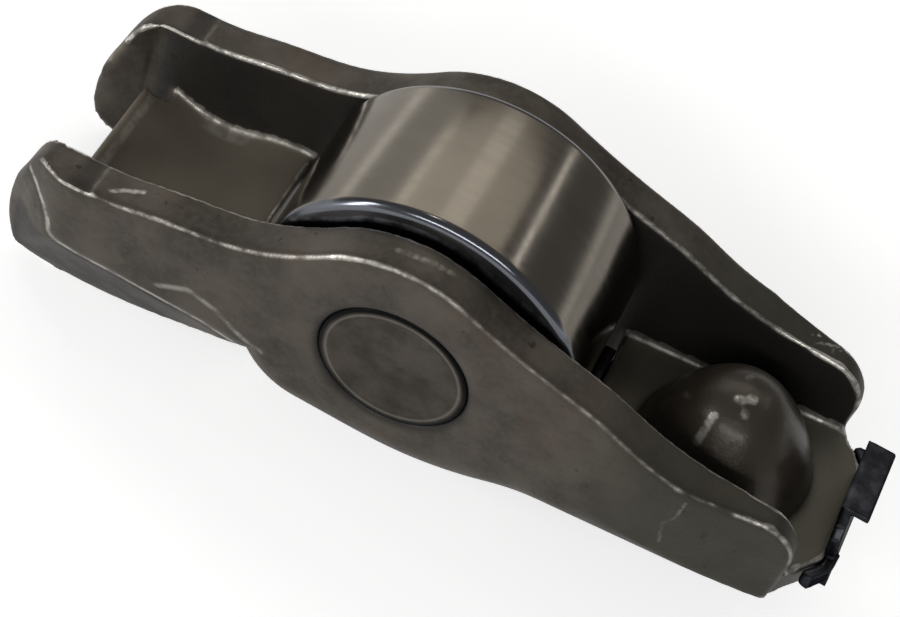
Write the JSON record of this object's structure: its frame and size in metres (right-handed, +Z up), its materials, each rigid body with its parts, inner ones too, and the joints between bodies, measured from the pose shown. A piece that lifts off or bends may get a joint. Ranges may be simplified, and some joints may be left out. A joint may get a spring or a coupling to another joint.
{
  "type": "roller rocker arm",
  "caption": "Stamped steel finger-type rocker arm with a needle-bearing cam roller on a staked axle, a ball socket, a valve pallet and a spring retaining clip.",
  "frame": {"origin": "centre of the roller's axle", "axes": "+X along the arm from the valve pallet to the ball socket, +Y across the arm along the axle, +Z up towards the camshaft; the arm is held on the lash adjuster's ball, at its ball socket"},
  "size_m": [0.0481, 0.0146, 0.0187],
  "materials": {
    "stamped_steel": "case-hardened, oiled, worn bright on its edges",
    "axle_steel": "dark ground steel",
    "roller_steel": "ground satin bearing steel",
    "spring_steel": "blackened spring steel",
    "needle_steel": "polished bearing steel"
  },
  "bodies": {
    "arm": {"arm_body": "stamped_steel", "axle_pin": "axle_steel", "retaining_clip": "spring_steel"},
    "roller": {"roller_ring": "roller_steel"},
    "needle_row": {"needle_01": "needle_steel", "needle_02": "needle_steel", "needle_03": "needle_steel", "needle_04": "needle_steel", "needle_05": "needle_steel", "needle_06": "needle_steel", "needle_07": "needle_steel", "needle_08": "needle_steel", "needle_09": "needle_steel", "needle_10": "needle_steel", "needle_11": "needle_steel", "needle_12": "needle_steel", "needle_13": "needle_steel", "needle_14": "needle_steel", "needle_15": "needle_steel", "needle_16": "needle_steel", "needle_17": "needle_steel"}
  },
  "joints": [
    {"name": "roller_spin", "type": "hinge", "parent": "arm", "child": "roller", "pos_m": [0, 0, 0], "axis": [0, 1, 0], "continuous": true},
    {"name": "needle_orbit", "type": "hinge", "parent": "arm", "child": "needle_row", "pos_m": [0, 0, 0], "axis": [0, 1, 0], "continuous": true}
  ],
  "couplings": [
    {"joint": "needle_orbit", "follows": "roller_spin", "ratio": 0.59256}
  ]
}
